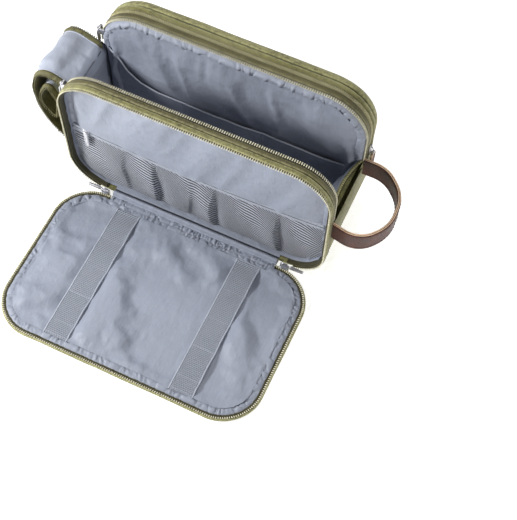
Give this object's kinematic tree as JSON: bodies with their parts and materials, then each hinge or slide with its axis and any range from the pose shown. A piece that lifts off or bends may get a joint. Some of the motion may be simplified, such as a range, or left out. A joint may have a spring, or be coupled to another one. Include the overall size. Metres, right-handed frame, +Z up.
{
  "type": "toiletry bag",
  "caption": "Canvas shaving-kit bag with a zip-round top lid, a fold-down front flap with mesh pocket, and a leather side strap.",
  "frame": {"origin": "centre of the base, on the surface the bag stands on", "axes": "+X along the length, towards the end with the leather strap; -Y towards the front, where the flap lies open; +Z up"},
  "size_m": [0.3359, 0.2679, 0.161],
  "materials": {
    "canvas": "olive waxed canvas, fine plain weave",
    "lining": "blue-grey satin",
    "zip_tape": "olive woven tape with olive-gold coil teeth",
    "grey_zip": "grey nylon coil zip",
    "mesh": "fine grey mesh",
    "webbing": "grey elastic webbing",
    "leather": "dark brown leather, pale cut edges",
    "metal": "silver slider",
    "foam": "white foam sheet",
    "board": "stiff plastic board"
  },
  "bodies": {
    "bag": {"back_canvas": "canvas", "back_foam": "foam", "base_band": "canvas", "base_board": "board", "divider_board": "board", "flap_hinge_strip": "canvas", "flap_zip_rim_tape": "zip_tape", "front_foot_strip": "canvas", "front_frame": "canvas", "handle": "leather", "leather_patch": "leather", "left_end_panel": "canvas", "lining_back": "lining", "lining_front": "lining", "lining_sleeve": "lining", "main_zip_front_tape": "zip_tape", "main_zip_rear_tape": "zip_tape", "mesh_pocket": "mesh", "mesh_pocket_zip": "grey_zip", "rear_divider": "board", "rear_inner_strip": "canvas", "rear_outer_strip": "canvas", "rear_piping": "canvas", "rear_pocket_lining": "lining", "rear_pocket_zip": "zip_tape", "right_end_panel": "canvas", "slip_pocket_binding": "lining", "slip_pockets": "lining", "tray_back_lining": "lining", "tray_upper_lining": "lining"},
    "flap": {"flap_canvas": "canvas", "flap_foam": "foam", "flap_lining": "lining", "flap_hem": "lining", "flap_zip_tape": "zip_tape", "elastic_strap_left": "webbing", "elastic_strap_right": "webbing"},
    "main_slider_rear": {"main_slider_rear": "metal"},
    "main_slider_rear_pull": {"main_slider_rear_pull": "metal"},
    "main_slider_front": {"main_slider_front": "metal"},
    "main_slider_front_pull": {"main_slider_front_pull": "metal"},
    "flap_slider_left": {"flap_slider_left": "metal"},
    "flap_slider_left_pull": {"flap_slider_left_pull": "metal"},
    "flap_slider_right": {"flap_slider_right": "metal"},
    "flap_slider_right_pull": {"flap_slider_right_pull": "metal"},
    "rear_pocket_slider": {"rear_pocket_slider": "metal"},
    "rear_pocket_pull": {"rear_pocket_pull": "leather"},
    "mesh_zip_slider": {"mesh_zip_slider": "metal"},
    "mesh_zip_pull": {"mesh_zip_pull": "metal"},
    "lid_1": {"lid_panel_1": "canvas"},
    "lid_2": {"lid_panel_2": "canvas"},
    "lid_3": {"lid_panel_3": "canvas"},
    "lid_4": {"lid_panel_4": "canvas"},
    "lid_5": {"lid_panel_5": "canvas"},
    "lid_6": {"lid_panel_6": "canvas"},
    "lid_7": {"lid_panel_7": "canvas"},
    "lid_8": {"lid_panel_8": "canvas"},
    "lid_9": {"lid_panel_9": "canvas"}
  },
  "joints": [
    {"name": "flap_hinge", "type": "hinge", "parent": "bag", "child": "flap", "pos_m": [0, -0.053, 0.0025], "axis": [-1, 0, 0], "range_deg": [0, 90]},
    {"name": "lid_fold", "type": "hinge", "parent": "bag", "child": "lid_1", "pos_m": [-0.1245, -0.0035, 0.118], "axis": [0, 1, 0], "range_deg": [0, 89.11]},
    {"name": "lid_fold_2", "type": "hinge", "parent": "lid_1", "child": "lid_2", "pos_m": [-0.15282, -0.0035, 0.12944], "axis": [0, 1, 0], "range_deg": [-0.3, 135.65]},
    {"name": "lid_fold_3", "type": "hinge", "parent": "lid_2", "child": "lid_3", "pos_m": [-0.16404, -0.0035, 0.10303], "axis": [0, 1, 0], "range_deg": [-0.3, 50.84]},
    {"name": "lid_fold_4", "type": "hinge", "parent": "lid_3", "child": "lid_4", "pos_m": [-0.16024, -0.0035, 0.0597], "axis": [0, 1, 0], "range_deg": [-0.3, 37.3]},
    {"name": "lid_fold_5", "type": "hinge", "parent": "lid_4", "child": "lid_5", "pos_m": [-0.13114, -0.0035, 0.02737], "axis": [0, 1, 0], "range_deg": [-0.3, 138.3]},
    {"name": "lid_fold_6", "type": "hinge", "parent": "lid_5", "child": "lid_6", "pos_m": [-0.13114, -0.0035, 0.07087], "axis": [0, 1, 0], "range_deg": [-0.3, 23.3]},
    {"name": "lid_fold_7", "type": "hinge", "parent": "lid_6", "child": "lid_7", "pos_m": [-0.14813, -0.0035, 0.11091], "axis": [0, 1, 0], "range_deg": [-0.3, 151.84]},
    {"name": "lid_fold_8", "type": "hinge", "parent": "lid_7", "child": "lid_8", "pos_m": [-0.1616, -0.0035, 0.08558], "axis": [0, 1, 0], "range_deg": [-0.3, 109.21]},
    {"name": "lid_fold_9", "type": "hinge", "parent": "lid_8", "child": "lid_9", "pos_m": [-0.14474, -0.0035, 0.06237], "axis": [0, 1, 0], "range_deg": [-0.3, 158.84]},
    {"name": "main_zip_rear_run", "type": "hinge", "parent": "bag", "child": "main_slider_rear", "pos_m": [-0.084, 0.0295, 0.119], "axis": [0, 1, 0], "range_deg": [0, 75]},
    {"name": "main_zip_rear_pull_swing", "type": "hinge", "parent": "main_slider_rear", "child": "main_slider_rear_pull", "pos_m": [-0.1293, 0.0296, 0.127], "axis": [0, 1, 0], "range_deg": [0, 100]},
    {"name": "main_zip_front_run", "type": "hinge", "parent": "bag", "child": "main_slider_front", "pos_m": [-0.088, -0.0367, 0.118], "axis": [0, 1, 0], "range_deg": [0, 70]},
    {"name": "main_zip_front_pull_swing", "type": "hinge", "parent": "main_slider_front", "child": "main_slider_front_pull", "pos_m": [-0.1293, -0.0368, 0.127], "axis": [0, 1, 0], "range_deg": [0, 100]},
    {"name": "flap_zip_left_run", "type": "hinge", "parent": "flap", "child": "flap_slider_left", "pos_m": [-0.088, -0.0913, 0.0047], "axis": [0, 0, 1], "range_deg": [0, 88]},
    {"name": "flap_zip_left_pull_swing", "type": "hinge", "parent": "flap_slider_left", "child": "flap_slider_left_pull", "pos_m": [-0.0963, -0.05185, 0.0076], "axis": [0, 1, 0], "range_deg": [0, 50]},
    {"name": "flap_zip_right_run", "type": "hinge", "parent": "flap", "child": "flap_slider_right", "pos_m": [0.088, -0.0913, 0.0047], "axis": [0, 0, -1], "range_deg": [0, 88]},
    {"name": "flap_zip_right_pull_swing", "type": "hinge", "parent": "flap_slider_right", "child": "flap_slider_right_pull", "pos_m": [0.0963, -0.05185, 0.0076], "axis": [0, -1, 0], "range_deg": [0, 50]},
    {"name": "rear_pocket_zip_run", "type": "slide", "parent": "bag", "child": "rear_pocket_slider", "axis": [0, 0, 1], "range_m": [0, 0.017]},
    {"name": "rear_pocket_pull_swing", "type": "hinge", "parent": "rear_pocket_slider", "child": "rear_pocket_pull", "pos_m": [0.13, 0.0385, 0.0945], "axis": [0, -1, 0], "range_deg": [0, 100]},
    {"name": "mesh_zip_run", "type": "slide", "parent": "bag", "child": "mesh_zip_slider", "axis": [1, 0, 0], "range_m": [0, 0.213]},
    {"name": "mesh_zip_pull_swing", "type": "hinge", "parent": "mesh_zip_slider", "child": "mesh_zip_pull", "pos_m": [-0.10775, -0.0438, 0.0785], "axis": [-1, 0, 0], "range_deg": [0, 170]}
  ],
  "couplings": [
    {"joint": "lid_fold_2", "follows": "lid_fold", "ratio": 1.519},
    {"joint": "lid_fold_3", "follows": "lid_fold", "ratio": 0.56723},
    {"joint": "lid_fold_4", "follows": "lid_fold", "ratio": 0.41524},
    {"joint": "lid_fold_5", "follows": "lid_fold", "ratio": 1.5487},
    {"joint": "lid_fold_6", "follows": "lid_fold", "ratio": 0.25812},
    {"joint": "lid_fold_7", "follows": "lid_fold", "ratio": 1.7007},
    {"joint": "lid_fold_8", "follows": "lid_fold", "ratio": 1.2223},
    {"joint": "lid_fold_9", "follows": "lid_fold", "ratio": 1.7793}
  ]
}
